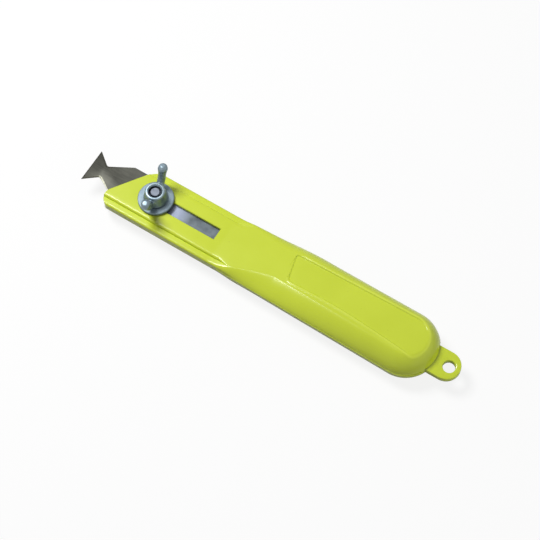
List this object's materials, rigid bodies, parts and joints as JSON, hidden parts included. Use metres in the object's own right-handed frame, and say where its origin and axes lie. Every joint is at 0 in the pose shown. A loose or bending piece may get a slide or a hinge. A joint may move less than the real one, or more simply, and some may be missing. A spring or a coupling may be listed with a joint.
{
  "type": "roofing knife",
  "caption": "Painted die-cast roofing knife with a fishtail hook blade on a slotted slide, a wing nut clamp, a hollow grip and a hang tab.",
  "frame": {"origin": "middle of the bounding box at the plane the knife's back rests on", "axes": "+X along the knife from the blade to the hang tab, +Z out of the front face with the wing nut, +Y towards the spine edge"},
  "size_m": [0.2168, 0.0346, 0.0304],
  "materials": {
    "shell_paint": "gloss",
    "blade_steel": "dark satin",
    "carrier_zinc": "zinc plated, dull",
    "bright_zinc": "zinc plated, bright",
    "screw_steel": "plated"
  },
  "bodies": {
    "housing": {"front_shell": "shell_paint", "rear_shell": "shell_paint", "shell_screw_grip": "screw_steel", "shell_screw_tail": "screw_steel", "spare_blade_1": "blade_steel", "spare_blade_2": "blade_steel", "spare_blade_3": "blade_steel", "spare_blade_4": "blade_steel", "spare_blade_5": "blade_steel"},
    "slide": {"blade_carrier": "carrier_zinc", "hook_blade": "blade_steel", "carrier_pin_spine": "carrier_zinc", "carrier_pin_belly": "carrier_zinc", "clamp_bolt": "bright_zinc"},
    "washer": {"clamp_washer": "bright_zinc"},
    "nut": {"wing_nut": "bright_zinc"}
  },
  "joints": [
    {"name": "blade_slide", "type": "slide", "parent": "housing", "child": "slide", "axis": [1, 0, 0], "range_m": [0, 0.033]},
    {"name": "washer_lift", "type": "slide", "parent": "slide", "child": "washer", "axis": [0, 0, 1], "range_m": [0, 0.0022]},
    {"name": "nut_turn", "type": "hinge", "parent": "washer", "child": "nut", "pos_m": [-0.0684, 0, 0.0154], "axis": [0, 0, 1], "range_deg": [0, 720]}
  ],
  "couplings": [
    {"joint": "washer_lift", "follows": "nut_turn", "m_per_rad": 0.00015915}
  ]
}
